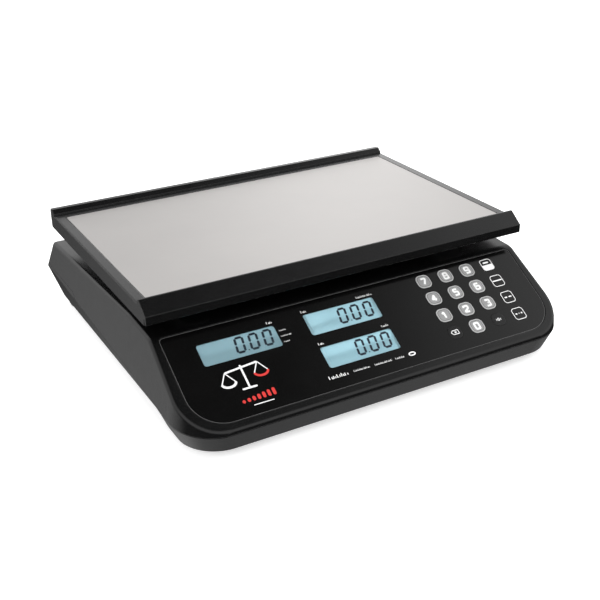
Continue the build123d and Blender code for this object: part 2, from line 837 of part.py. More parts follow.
boss_bottom = cell_top + spacer_thickness
boss_size = (36.0, 30.0)
cushion_places = [
    (x, tray_centre_y + y)
    for x in (-spider_reach[0], spider_reach[0])
    for y in (-spider_reach[1], spider_reach[1])
]
with BuildPart() as platform_spider:
    with BuildSketch(Plane.XY.offset(spider_z[0])):
        with Locations((0, tray_centre_y)):
            Rectangle(2 * spider_reach[0], boss_size[1] + 4)
        for x in (-spider_reach[0], spider_reach[0]):
            with Locations((x, tray_centre_y)):
                RectangleRounded(spider_arm, 2 * spider_reach[1] + spider_arm, spider_arm / 2 - 0.5)
        with Locations((-40, tray_centre_y)):
            RectangleRounded(110, 18, 8, mode=Mode.SUBTRACT)
    extrude(amount=spider_z[1] - spider_z[0])
    fillet(platform_spider.edges().filter_by(Axis.Z).filter_by_position(Axis.X, -110, 110), radius=5)
    with BuildSketch(Plane.XY.offset(boss_bottom)):
        with Locations((boss_x, tray_centre_y)):
            RectangleRounded(*boss_size, 3)
    extrude(amount=spider_z[0] - boss_bottom + 1)
    with BuildSketch(Plane.XY.offset(boss_bottom)):
        with Locations(*[(x, tray_centre_y) for x in cell_screws]):
            Circle(screw_radius + thread_clearance)
    extrude(amount=spider_z[1] - boss_bottom, mode=Mode.SUBTRACT)
    with BuildSketch(Plane.XY.offset(upper_head_z)):
        with Locations(*[(x, tray_centre_y) for x in cell_screws]):
            Circle(socket_head[0] + 0.5)
    extrude(amount=spider_z[1] - upper_head_z, mode=Mode.SUBTRACT)
    with BuildSketch(Plane.XY.offset(spider_z[1] - cushion_socket)):
        with Locations(*cushion_places):
            Circle(cushion_radius + 0.1)
    extrude(amount=cushion_socket, mode=Mode.SUBTRACT)
platform_spider.part.label = "platform_spider"
export_step(platform_spider.part, "parts/platform_spider.step")

with BuildPart() as tray_cushions:
    with BuildSketch(Plane.XY.offset(spider_z[1] - cushion_socket)):
        with Locations(*cushion_places):
            Circle(cushion_radius)
    extrude(amount=tray_deck_bottom - spider_z[1] + cushion_socket)
    chamfer(tray_cushions.faces().sort_by(Axis.Z)[-4:].edges(), length=0.8)
tray_cushions.part.label = "tray_cushions"
export_step(tray_cushions.part, "parts/tray_cushions.step")

# Weighing tray: moulded frame with two guards, and the stainless pan

pan_bottom = pan_top - pan_thickness
front_guard = [
    (tray_front, 85.2),
    (tray_front, 92.0),
    (-81.6, 100.9),
    (-80.2, 100.9),
    (guard_inner_front - 0.2, 99.4),
    (guard_inner_front, pan_bottom),
    (guard_inner_front, tray_deck_bottom),
    (-85.0, tray_deck_bottom),
    (tray_front + skirt_thickness, 88.5),
    (tray_front + skirt_thickness, 85.2),
]
rear_guard = [
    (tray_rear, skirt_bottom),
    (tray_rear, 98.8),
    (131.0, 101.5),
    (126.6, 101.5),
    (guard_inner_rear, 98.2),
    (guard_inner_rear, tray_deck_bottom),
    (tray_rear - skirt_thickness, tray_deck_bottom),
    (tray_rear - skirt_thickness, skirt_bottom),
]
with BuildPart() as tray_frame:
    with BuildSketch(Plane.XY.offset(tray_deck_bottom)):
        with Locations((0, (guard_inner_front + guard_inner_rear) / 2)):
            Rectangle(2 * tray_half, guard_inner_rear - guard_inner_front)
    extrude(amount=pan_top - tray_deck_bottom)
    with BuildSketch(Plane.XY.offset(pan_bottom)):
        with Locations((0, (pan_front + pan_rear) / 2)):
            Rectangle(2 * pan_half, pan_rear - pan_front)
    extrude(amount=pan_thickness, mode=Mode.SUBTRACT)
    with BuildSketch(Plane.YZ):
        Polygon(*front_guard, align=None)
        Polygon(*rear_guard, align=None)
    extrude(amount=tray_half, both=True)
    with BuildSketch(Plane.XY.offset(skirt_bottom)):
        for side in (-1, 1):
            with Locations((side * (tray_half - skirt_thickness / 2), (tray_front + tray_rear) / 2 + 2)):
                Rectangle(skirt_thickness, tray_rear - tray_front - 4)
    extrude(amount=tray_deck_bottom - skirt_bottom)
    for side in (-1, 1):
        with BuildSketch(Plane.XZ.offset(-guard_inner_front)):
            with Locations((side * tray_half, pan_top)):
                Rectangle(1.6, 1.2)
        extrude(amount=guard_inner_front - guard_inner_rear, mode=Mode.SUBTRACT)
tray_frame.part.label = "tray_frame"
export_step(tray_frame.part, "parts/tray_frame.step")

with BuildPart() as weighing_pan:
    with BuildSketch(Plane.XY.offset(pan_bottom)):
        with Locations((0, (pan_front + pan_rear) / 2)):
            RectangleRounded(2 * (pan_half - pan_gap), pan_rear - pan_front - 2 * pan_gap, 1.5)
    extrude(amount=pan_thickness)
    fillet(weighing_pan.faces().sort_by(Axis.Z)[-1].edges(), radius=0.4)
weighing_pan.part.label = "weighing_pan"
export_step(weighing_pan.part, "parts/weighing_pan.step")

# Electronics and battery

with BuildPart() as main_board:
    with BuildSketch(Plane.XY.offset(main_board_z)):
        with Locations(main_board_centre):
            Rectangle(*main_board_size)
        with Locations(*main_board_holes):
            Circle(pilot_radius + 0.2, mode=Mode.SUBTRACT)
    extrude(amount=board_thickness)
    board_top = main_board_z + board_thickness
    for x, y, width, depth, height in (
        (36, -24, 8, 12, 7),
        (80, -40, 14, 14, 2),
        (104, -62, 18, 8, 3),
        (126, -26, 16, 18, 10),
        (52, -66, 24, 6, 8),
    ):
        with BuildSketch(Plane.XY.offset(board_top)):
            with Locations((x, y)):
                Rectangle(width, depth)
        extrude(amount=height)
    with BuildSketch(Plane.XY.offset(board_top)):
        with Locations((104, -22), (104, -36)):
            Circle(5)
    extrude(amount=14)
main_board.part.label = "main_board"
export_step(main_board.part, "parts/main_board.step")

with BuildPart() as board_screws:
    with BuildSketch(Plane.XY.offset(main_board_z + board_thickness)):
        with Locations(*main_board_holes):
            Circle(2)
    extrude(amount=1.6)
    with BuildSketch(Plane.XY.offset(chassis_top + 0.5)):
        with Locations(*main_board_holes):
            Circle(pilot_radius - 0.05)
    extrude(amount=main_board_z + board_thickness - chassis_top - 0.5)
    for places, board_top in ((display_holes, display_board_top), (keypad_holes, keypad_board_top)):
        with BuildSketch(console.offset(board_top - board_thickness)):
            with Locations(*places):
                Circle(2)
        extrude(amount=-1.6)
        with BuildSketch(console.offset(board_top - board_thickness)):
            with Locations(*places):
                Circle(pilot_radius - 0.05)
        extrude(amount=board_thickness + 2.4)
board_screws.part.label = "board_screws"
export_step(board_screws.part, "parts/board_screws.step")

battery_z = floor_top + 0.4
with BuildPart() as battery:
    with BuildSketch(Plane.XY.offset(battery_z)):
        with Locations(battery_centre):
            RectangleRounded(battery_size[0], battery_size[1], 2)
    extrude(amount=battery_size[2])
    with BuildSketch(Plane.YZ.offset(battery_centre[0] + battery_size[0] / 2)):
        with Locations((battery_centre[1] - 22, battery_z + 30), (battery_centre[1] + 22, battery_z + 30)):
            Rectangle(0.8, 6.3)
    extrude(amount=6)
battery.part.label = "battery"
export_step(battery.part, "parts/battery.step")

# The load cell's lead, held between the cell and the board's connector
cable_radius = 2.0
cable_points = [(-45, 5, 36), (-45, -4, 36), (-20, -5, 33), (8, -8, 31), (20, -20, 29), (32, -20, 29)]
cable_radii = [4, 20, 16, 6]
with BuildPart() as load_cell_cable:
    with BuildLine() as cable_path:
        FilletPolyline(*cable_points, radius=cable_radii)
    with BuildSketch(Plane(origin=cable_path.line @ 0, z_dir=cable_path.line % 0)):
        Circle(cable_radius)
    sweep()
load_cell_cable.part.label = "load_cell_cable"
export_step(load_cell_cable.part, "parts/load_cell_cable.step")

with BuildPart() as level_vial:
    with BuildSketch(Plane.XY.offset(vial_z[0])):
        with Locations(vial_place):
            Circle(vial_radius)
    extrude(amount=vial_z[1] - vial_z[0])
    fillet(level_vial.faces().sort_by(Axis.Z)[-1].edges(), radius=2)
level_vial.part.label = "level_vial"
export_step(level_vial.part, "parts/level_vial.step")

# Power switch and inlet

rocker_pivot_depth = -1.5
rocker_tilt = 8.0
rocker_pin_radius = 1.2
rocker_width = 10.4
pivot = undercut.offset(rocker_pivot_depth).origin
rocker_plane = Plane(origin=pivot, x_dir=(-1, 0, 0), z_dir=undercut.y_dir)

with BuildPart() as switch_body:
    with BuildSketch(undercut):
        RectangleRounded(switch_bezel[0], switch_bezel[1], 1.5)
    extrude(amount=switch_bezel[2])
    with BuildSketch(undercut):
        Rectangle(switch_barrel[0], switch_barrel[1])
    extrude(amount=-switch_barrel[2])
    with BuildSketch(undercut.offset(switch_bezel[2])):
        Rectangle(switch_well[0], switch_well[1])
    extrude(amount=-switch_well[2] - switch_bezel[2], mode=Mode.SUBTRACT)
    with BuildSketch(rocker_plane):
        Circle(rocker_pin_radius + 0.05)
    extrude(amount=(switch_well[1] + 1.6) / 2, both=True, mode=Mode.SUBTRACT)
    with BuildSketch(undercut.offset(-switch_barrel[2])):
        with Locations((-6, 0), (2, 0)):
            Rectangle(0.8, 4.8)
    extrude(amount=-7)
switch_body.part.label = "switch_body"
export_step(switch_body.part, "parts/switch_body.step")

rocker_profile = [
    (-8.0, 4.4),
    (0.0, 3.4),
    (8.0, 4.4),
    (7.6, 0.0),
    (3.0, -4.6),
    (-3.0, -4.6),
    (-7.6, 0.0),
]
with BuildPart() as switch_rocker:
    with BuildSketch(rocker_plane):
        with Locations(Location((0, 0, 0), (0, 0, rocker_tilt))):
            Polygon(*[(x, -z) for x, z in rocker_profile], align=None)
    extrude(amount=rocker_width / 2, both=True)
    with BuildSketch(rocker_plane):
        Circle(rocker_pin_radius)
    extrude(amount=(switch_well[1] + 1.2) / 2, both=True)
switch_rocker.part.label = "switch_rocker"
export_step(switch_rocker.part, "parts/switch_rocker.step")

with BuildPart() as dc_inlet:
    with BuildSketch(undercut):
        with Locations((inlet_offset, 0)):
            Circle(inlet_flange_radius)
    extrude(amount=1.4)
    with BuildSketch(undercut):
        with Locations((inlet_offset, 0)):
            Circle(inlet_barrel_radius)
    extrude(amount=-inlet_depth)
    with BuildSketch(undercut.offset(-case_wall - 0.5)):
        with Locations((inlet_offset, 0)):
            RegularPolygon(8, 6)
    extrude(amount=-2.4)
    with BuildSketch(undercut.offset(1.4)):
        with Locations((inlet_offset, 0)):
            Circle(inlet_bore_radius)
    extrude(amount=-inlet_bore_depth - 1.4, mode=Mode.SUBTRACT)
    with BuildSketch(undercut.offset(-inlet_bore_depth - 1)):
        with Locations((inlet_offset, 0)):
            Circle(1.0)
    extrude(amount=inlet_bore_depth)
dc_inlet.part.label = "dc_inlet"
export_step(dc_inlet.part, "parts/dc_inlet.step")

# Levelling feet

for name, place in feet.items():
    with BuildPart() as foot:
        with BuildSketch(Plane.XY.offset(foot_pad_height)):
            with Locations(place):
                Circle(foot_radius)
        extrude(amount=foot_disc_top - foot_pad_height)
        with BuildSketch(Plane.XY.offset(foot_pad_height)):
            with Locations(place):
                with PolarLocations(foot_radius + 0.6, 18):
                    Circle(1.2)
        extrude(amount=foot_disc_top - foot_pad_height, mode=Mode.SUBTRACT)
        with BuildSketch(Plane.XY.offset(foot_pad_height)):
            with Locations(place):
                Circle(stud_radius)
        extrude(amount=stud_top - foot_pad_height)
        chamfer(foot.faces().sort_by(Axis.Z)[-1].edges(), length=0.8)
    foot.part.label = "foot_" + name
    export_step(foot.part, f"parts/foot_{name}.step")

    with BuildPart() as foot_pad:
        with BuildSketch():
            with Locations(place):
                Circle(foot_radius - 1)
        extrude(amount=foot_pad_height)
        chamfer(foot_pad.faces().sort_by(Axis.Z)[0].edges(), length=0.6)
    foot_pad.part.label = "foot_pad_" + name
    export_step(foot_pad.part, f"parts/foot_pad_{name}.step")

with BuildPart() as foot_lock_nuts:
    with BuildSketch(Plane.XY.offset(chassis_top)):
        with Locations(*feet.values()):
            RegularPolygon(7.5, 6)
            Circle(stud_radius + stud_clearance, mode=Mode.SUBTRACT)
    extrude(amount=5.5)
foot_lock_nuts.part.label = "foot_lock_nuts"
export_step(foot_lock_nuts.part, "parts/foot_lock_nuts.step")
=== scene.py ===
import json
import math

import bpy
import numpy as np
from mathutils import Matrix, Vector


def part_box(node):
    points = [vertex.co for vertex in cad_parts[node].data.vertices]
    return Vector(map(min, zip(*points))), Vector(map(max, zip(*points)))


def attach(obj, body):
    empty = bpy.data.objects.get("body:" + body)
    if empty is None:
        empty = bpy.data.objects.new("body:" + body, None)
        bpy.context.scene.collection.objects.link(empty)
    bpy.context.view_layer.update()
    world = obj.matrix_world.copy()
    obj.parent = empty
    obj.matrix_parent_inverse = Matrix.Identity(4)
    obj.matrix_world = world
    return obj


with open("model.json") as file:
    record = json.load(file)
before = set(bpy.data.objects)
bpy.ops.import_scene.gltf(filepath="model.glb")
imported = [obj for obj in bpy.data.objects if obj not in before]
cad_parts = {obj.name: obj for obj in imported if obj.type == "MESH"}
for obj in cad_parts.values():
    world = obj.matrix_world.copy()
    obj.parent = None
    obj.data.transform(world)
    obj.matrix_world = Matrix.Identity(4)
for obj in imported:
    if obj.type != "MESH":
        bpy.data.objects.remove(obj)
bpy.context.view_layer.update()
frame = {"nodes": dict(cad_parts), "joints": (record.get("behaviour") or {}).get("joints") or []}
nodes = frame["nodes"]
joints = {joint["name"]: joint for joint in frame["joints"]}
mm = 0.001
print("frame loaded:", len(nodes), "pieces")

cameraPlan = {
    "place": (-0.3787, -0.6998, 0.4121),  # in front, to the left and above
    "heading": 28.78,  # degrees to the right of straight back
    "tilt": 25.85,  # degrees below level
    "roll": -0.98,
    "lens": 60.27,
    "sensor": 36.0,
    "shift": (0.0007, -0.0044),
}


def makeCamera(plan):
    heading, tilt, roll = (math.radians(plan[key]) for key in ("heading", "tilt", "roll"))
    level = math.cos(tilt)
    forward = Vector((math.sin(heading) * level, math.cos(heading) * level, -math.sin(tilt)))
    side = Vector((math.cos(heading), -math.sin(heading), 0))
    top = side.cross(forward)
    right = side * math.cos(roll) + top * math.sin(roll)
    up = top * math.cos(roll) - side * math.sin(roll)
    data = bpy.data.cameras.new("camera")
    data.lens = plan["lens"]
    data.sensor_width = plan["sensor"]
    data.shift_x, data.shift_y = plan["shift"]
    camera = bpy.data.objects.new("camera", data)
    turn = Matrix((right, up, -forward)).transposed().to_4x4()
    camera.matrix_world = Matrix.Translation(plan["place"]) @ turn
    bpy.context.scene.collection.objects.link(camera)
    bpy.context.scene.camera = camera


makeCamera(cameraPlan)


class Wire:
    # a value travelling between shader nodes; Python's arithmetic on it adds Math nodes
    def __init__(self, graph, socket):
        self.graph = graph
        self.socket = socket

    def maths(self, operation, first, second):
        return self.graph.node("Math", {"operation": operation}, {0: first, 1: second})

    def __add__(self, other):
        return self.maths("ADD", self, other)

    def __radd__(self, other):
        return self.maths("ADD", other, self)

    def __sub__(self, other):
        return self.maths("SUBTRACT", self, other)

    def __rsub__(self, other):
        return self.maths("SUBTRACT", other, self)

    def __mul__(self, other):
        return self.maths("MULTIPLY", self, other)

    def __rmul__(self, other):
        return self.maths("MULTIPLY", other, self)

    def __gt__(self, other):
        return self.maths("GREATER_THAN", self, other)

    def __lt__(self, other):
        return self.maths("LESS_THAN", self, other)


class Graph:
    # a node tree: node() adds any node with its settings and then its sockets
    def __init__(self, tree):
        self.tree = tree

    def node(self, kind, settings, sockets, output=0):
        made = self.tree.nodes.new("ShaderNode" + kind)
        for key, value in settings.items():
            setattr(made, key, value)
        for key, value in sockets.items():
            self.feed(made.inputs[key], value)
        return Wire(self, made.outputs[output])

    def feed(self, socket, value):
        if isinstance(value, Wire):
            self.tree.links.new(value.socket, socket)
        else:
            socket.default_value = value

    def fit(self, value, low, high, start=0.0, end=1.0):
        sockets = {0: value, 1: low, 2: high, 3: start, 4: end}
        return self.node("MapRange", {"clamp": True, "interpolation_type": "LINEAR"}, sockets)


class Finish(Graph):
    # one material; the Principled shader's constants are set at once
    def __init__(self, name, constants):
        self.material = bpy.data.materials.new(name)
        self.material.use_nodes = True
        super().__init__(self.material.node_tree)
        self.tree.nodes.clear()
        self.shader = self.tree.nodes.new("ShaderNodeBsdfPrincipled")
        output = self.tree.nodes.new("ShaderNodeOutputMaterial")
        self.tree.links.new(self.shader.outputs[0], output.inputs["Surface"])
        for socket, value in constants.items():
            self.shader.inputs[socket].default_value = value

    def surface(self, **inputs):
        names = {"colour": "Base Color", "roughness": "Roughness", "metallic": "Metallic", "alpha": "Alpha",
                 "glow": "Emission Color", "normal": "Normal"}
        for key, value in inputs.items():
            self.feed(self.shader.inputs[names[key]], value)
        return self.material

    def place(self, scale=(1, 1, 1), centre=(0, 0, 0)):
        # object coordinates in metres, moved so that centre is nothing and stretched
        coordinates = self.node("TexCoord", {}, {}, "Object")
        moved = self.node("VectorMath", {"operation": "SUBTRACT"}, {0: coordinates, 1: centre})
        return self.node("VectorMath", {"operation": "MULTIPLY"}, {0: moved, 1: scale})

    def noise(self, size, detail=2, place=None):
        # cloudy noise whose spots are about size metres across
        sockets = {"Vector": place or self.place(), "Scale": 1 / size, "Detail": detail, "Roughness": 0.55}
        return self.node("TexNoise", {}, sockets, "Fac")

    def mix(self, share, first, second):
        # a colour between two; the sockets 6 and 7 are the colour pair of the Mix node
        sockets = {0: share, 6: first, 7: second}
        return self.node("Mix", {"data_type": "RGBA", "clamp_factor": True}, sockets, 2)

    def bump(self, height, depth, strength=1.0, under=None):
        sockets = {"Height": height, "Distance": depth, "Strength": strength}
        if under is not None:
            sockets["Normal"] = under
        return self.node("Bump", {}, sockets)

    def softEdge(self, radius):
        return self.node("Bevel", {"samples": 6}, {"Radius": radius})

    def edgeMask(self, soft):
        # 0 on a flat face, towards 1 where the softened normal turns away from the true one
        true = self.node("NewGeometry", {}, {}, "Normal")
        along = self.node("VectorMath", {"operation": "DOT_PRODUCT"}, {0: soft, 1: true}, "Value")
        return self.fit(1 - along, 0.01, 0.16)


def grey(level, warm=0.0):
    # a neutral colour, a little warmer or cooler
    return (level * (1 + warm), level, level * (1 - warm), 1)


studioPlan = {
    # brightness by height: 0.5 is level and 1 is straight up
    "levels": ((0.50, 1.0), (0.88, 0.96), (0.91, 0.60), (0.935, 0.22), (0.955, 0.06), (1.0, 0.02)),
    "lowDark": 0.04,
    "lowDown": 0.55,
    "lowLeft": 0.58,
    "sideGlow": 1.2,
    # each pair is where a part of the world starts and where it is full, along one axis of the direction
    "patchLeft": (0.34, 0.46),
    "patchRight": (0.66, 0.56),
    "patchTop": (0.48, 0.36),
    "downSteep": (-0.45, -0.8),
    "downNear": (-0.5, -0.25),
    "leftSide": (-0.23, -0.38),
    "leftFar": (0.1, 0.4),
    "horizon": (-0.06, 0.08),
    "floorSize": 40.0,
    "floorGrey": 0.88,
    "floorUneven": 0.03,
    "floorSpot": 0.4,
    "floorGlow": 0.62,
    # lamps: place, size and watts
    "overhead": ((0, 0.1, 1.5), (1.4, 1.4), 17.0),
    "left": ((-1.3, -0.7, 0.9), (0.9, 0.7), 7.0),
    "right": ((1.3, -0.5, 0.8), (0.9, 0.7), 5.0),
}


def makeWorld(plan):
    # brightness by direction: a pale room, a dark ceiling, and a floor that is bright below and to the left
    world = bpy.data.worlds.new("studio")
    world.use_nodes = True
    graph = Graph(world.node_tree)
    direction = graph.node("TexCoord", {}, {}, "Generated")
    parts = {axis: graph.node("SeparateXYZ", {}, {0: direction}, axis) for axis in "XYZ"}
    x, y, z = (parts[axis] for axis in "XYZ")
    ramp = graph.tree.nodes.new("ShaderNodeValToRGB")
    stops = ramp.color_ramp.elements
    stops[0].position, stops[1].position = plan["levels"][0][0], plan["levels"][-1][0]
    for position, level in plan["levels"][1:-1]:
        stops.new(position)
    for stop, (position, level) in zip(stops, plan["levels"]):
        stop.color = grey(level)
    graph.feed(ramp.inputs[0], z * 0.5 + 0.5)
    above = graph.node("SeparateColor", {}, {0: Wire(graph, ramp.outputs[0])}, 0)
    patch = graph.fit(x, *plan["patchLeft"]) * graph.fit(x, *plan["patchRight"])
    patch = patch * graph.fit(z, *plan["patchTop"]) * (y > 0)
    above = above + plan["sideGlow"] * patch
    down = graph.fit(z, *plan["downSteep"]) * graph.fit(y, *plan["downNear"])
    left = graph.fit(x, *plan["leftSide"]) * graph.fit(y, *plan["leftFar"])
    below = plan["lowDark"] + plan["lowDown"] * down + plan["lowLeft"] * left
    share = graph.fit(z, *plan["horizon"])
    level = below * (1 - share) + above * share
    graph.feed(graph.tree.nodes["Background"].inputs["Color"], level)
    bpy.context.scene.world = world


def makeFloor(plan):
    half = plan["floorSize"] / 2
    mesh = bpy.data.meshes.new("floor")
    corners = [(-half, -half, 0), (half, -half, 0), (half, half, 0), (-half, half, 0)]
    mesh.from_pydata(corners, [], [(0, 1, 2, 3)])
    floor = bpy.data.objects.new("floor", mesh)
    bpy.context.scene.collection.objects.link(floor)
    constants = {"Roughness": 0.9, "Specular IOR Level": 0.1, "Emission Strength": plan["floorGlow"]}
    paper = Finish("floorPaper", constants)
    paler = grey(plan["floorGrey"] + plan["floorUneven"])
    shade = paper.mix(paper.noise(plan["floorSpot"]), grey(plan["floorGrey"]), paler)
    mesh.materials.append(paper.surface(colour=shade, glow=shade))
    floor.visible_glossy = False  # the reflections come from the world alone


def softbox(name, place, size, power, target=(0, 0, 0.04)):
    data = bpy.data.lights.new(name, "AREA")
    data.shape = "RECTANGLE"
    data.size, data.size_y = size
    data.energy = power
    lamp = bpy.data.objects.new(name, data)
    lamp.location = place
    lamp.rotation_euler = (Vector(target) - Vector(place)).to_track_quat("-Z", "Y").to_euler()
    lamp.visible_glossy = False
    bpy.context.scene.collection.objects.link(lamp)


makeWorld(studioPlan)
makeFloor(studioPlan)
for name in ("overhead", "left", "right"):
    softbox(name + "Lamp", *studioPlan[name])
bpy.context.scene.view_settings.view_transform = "Standard"
print("studio ready")


def glossyMoulding(name, level, gloss, grain=0.35 * mm, depth=0.006 * mm):
    # black moulded plastic: a faint spark-eroded grain, uneven gloss and paler edges, partly wear and partly
    # a painted highlight
    finish = Finish(name, {"Specular IOR Level": 0.5})
    fine = finish.noise(grain, 2)
    cloud = finish.noise(60 * mm, 4)
    smears = finish.noise(9 * mm, 3, finish.place((1, 3, 1)))
    soft = finish.softEdge(0.85 * mm)
    wearAndHighlight = finish.edgeMask(soft) * finish.fit(finish.noise(5 * mm, 3), 0.4, 0.7)
    colour = finish.mix(finish.fit(cloud, 0.3, 0.7), grey(level, -0.03), grey(level * 1.5, -0.02))
    # edges turn paler: patchy wear plus a painted highlight along each edge
    colour = finish.mix(wearAndHighlight * 0.6, colour, grey(0.03))
    roughness = gloss + 0.05 * finish.fit(smears, 0.35, 0.75) + 0.04 * fine + 0.08 * wearAndHighlight
    normal = finish.bump(fine, depth, 0.5, soft)
    return finish.surface(colour=colour, roughness=roughness, normal=normal)


def panelFilm():
    # the console's film: a smooth hard coat over black print
    finish = Finish("panelFilm", {"Specular IOR Level": 0.46})
    fine = finish.noise(0.25 * mm, 1)
    ripple = finish.noise(30 * mm, 2)
    colour = finish.mix(ripple, grey(0.0016), grey(0.0032))
    roughness = 0.10 + 0.05 * finish.fit(finish.noise(12 * mm, 3), 0.3, 0.8)
    normal = finish.bump(fine + 6 * ripple, 0.004 * mm, 0.6, finish.softEdge(0.25 * mm))
    return finish.surface(colour=colour, roughness=roughness, normal=normal)


def satinSteel():
    # the pan: long brushed lines, a soft bead-blasted bloom and a few hair scratches
    finish = Finish("satinSteel", {"Metallic": 1.0})
    lines = finish.noise(0.5 * mm, 3, finish.place((0.012, 1, 1)))
    bloom = finish.noise(70 * mm, 3)
    scratch = finish.noise(1.6 * mm, 2, finish.place((0.03, 1, 1), (0.02, 0.01, 0)))
    hair = finish.fit(scratch, 0.70, 0.74) * finish.fit(finish.noise(40 * mm), 0.5, 0.7)
    colour = finish.mix(finish.fit(bloom, 0.3, 0.7), (0.525, 0.506, 0.494, 1), (0.560, 0.540, 0.526, 1))
    colour = finish.mix(0.12 * lines, colour, grey(0.9))
    colour = finish.mix(0.25 * hair, colour, grey(0.4))
    roughness = 0.36 + 0.08 * lines + 0.05 * bloom - 0.1 * hair
    normal = finish.bump(lines, 0.006 * mm, 0.4)
    return finish.surface(colour=colour, roughness=roughness, normal=normal)


def displayGlass():
    # reflective display: grey-blue polariser, a faint glow that is painted light and a fine even grain
    finish = Finish("displayGlass", {"Specular IOR Level": 0.3, "Emission Strength": 0.05})
    cloud = finish.noise(25 * mm, 2)
    fine = finish.noise(0.3 * mm, 1)
    colour = finish.mix(finish.fit(cloud, 0.3, 0.7), (0.265, 0.455, 0.525, 1), (0.300, 0.510, 0.580, 1))
    roughness = 0.3 + 0.1 * fine
    normal = finish.bump(fine, 0.002 * mm)
    # the glow is painted light: the display is no lamp
    return finish.surface(colour=colour, glow=colour, roughness=roughness, normal=normal)


def clearWindow():
    # hard-coated lens: hardly there, with a trace of haze that varies
    finish = Finish("clearWindow", {"IOR": 1.46})
    haze = finish.noise(14 * mm, 3)
    colour = finish.mix(haze, (0.55, 0.68, 0.74, 1), (0.62, 0.74, 0.79, 1))
    return finish.surface(colour=colour, alpha=0.012 + 0.02 * haze, roughness=0.04 + 0.05 * haze)


def printInk(name, colour, darker):
    # screen-printed ink: matt and slightly uneven
    finish = Finish(name, {"Specular IOR Level": 0.3})
    uneven = finish.noise(0.8 * mm, 3)
    shade = finish.mix(finish.fit(uneven, 0.35, 0.75), colour, darker)
    roughness = 0.45 + 0.15 * uneven
    normal = finish.bump(uneven, 0.004 * mm)
    return finish.surface(colour=shade, roughness=roughness, normal=normal)


def paintedKey():
    # digit pads: silver-grey paint under a clear coat
    finish = Finish("paintedKey", {"Metallic": 0.25, "Coat Weight": 0.3, "Coat Roughness": 0.15})
    flake = finish.noise(0.12 * mm, 1)
    cloud = finish.noise(4 * mm, 2)
    colour = finish.mix(flake, grey(0.24), grey(0.30))
    colour = finish.mix(0.4 * cloud, colour, grey(0.33))
    normal = finish.bump(flake, 0.003 * mm, 0.5, finish.softEdge(0.2 * mm))
    return finish.surface(colour=colour, roughness=0.35 + 0.1 * flake, normal=normal)


def circuitBoard():
    # solder mask over a grid of copper tracks, with small vias
    finish = Finish("circuitBoard", {"Coat Weight": 0.3, "Coat Roughness": 0.2})
    brick = {"Vector": finish.place(), "Scale": 90.0, "Mortar Size": 0.03, "Mortar Smooth": 0.2, "Bias": 0.0,
             "Brick Width": 0.7, "Row Height": 0.25, "Color1": grey(1), "Color2": grey(1), "Mortar": grey(0)}
    track = finish.node("TexBrick", {"offset": 0.4}, brick, "Fac")
    dots = finish.node("TexVoronoi", {}, {"Vector": finish.place(), "Scale": 260.0}, "Distance")
    via = dots < 0.16
    mask = finish.mix(finish.noise(3 * mm), (0.008, 0.075, 0.03, 1), (0.012, 0.10, 0.042, 1))
    colour = finish.mix(track, mask, (0.03, 0.19, 0.075, 1))
    colour = finish.mix(via, colour, (0.55, 0.42, 0.2, 1))
    normal = finish.bump(track + via, 0.03 * mm, 0.6)
    return finish.surface(colour=colour, roughness=0.35 - 0.1 * via, metallic=via, normal=normal)


def vialLiquid():
    # spirit level seen from above: a pale bubble inside a black ring in green liquid
    low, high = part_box("level_vial")
    finish = Finish("vialLiquid", {"Coat Weight": 1.0, "Coat Roughness": 0.05})
    centre = (low + high) / 2
    offset = finish.place((1, 1, 0), tuple(centre))
    away = finish.node("VectorMath", {"operation": "LENGTH"}, {0: offset}, "Value")
    reach = (high.x - low.x) / 2
    ring = (away > 0.50 * reach) * (away < 0.58 * reach)
    bubble = finish.fit(away, 0.34 * reach, 0.40 * reach, 1.0, 0.0)
    shade = finish.mix(finish.noise(2 * mm), (0.20, 0.52, 0.05, 1), (0.26, 0.60, 0.07, 1))
    shade = finish.mix(bubble, shade, (0.75, 0.85, 0.45, 1))
    shade = finish.mix(ring, shade, grey(0.01))
    return finish.surface(colour=shade, roughness=0.12 + 0.1 * ring)


def worked(name, low, high, roughness, metallic, grain, depth, stretch=(1, 1, 1), warm=0.0):
    # metals and plain plastics: two greys, one grain, an uneven polish and softened edges, paler along the
    # edge as wear plus a painted highlight
    finish = Finish(name, {"Metallic": metallic})
    fine = finish.noise(grain, 2, finish.place(stretch))
    cloud = finish.noise(18 * mm, 3)
    soft = finish.softEdge(0.25 * mm)
    wearAndHighlight = finish.edgeMask(soft)
    colour = finish.mix(finish.fit(0.6 * fine + 0.4 * cloud, 0.3, 0.7), grey(low, warm), grey(high, warm))
    # paler edges: wear and a painted highlight
    colour = finish.mix(0.4 * wearAndHighlight, colour, grey(min(0.9, high * 1.6), warm))
    normal = finish.bump(fine, depth, 0.6, soft)
    return finish.surface(colour=colour, roughness=roughness + 0.15 * cloud - 0.08 * wearAndHighlight, normal=normal)


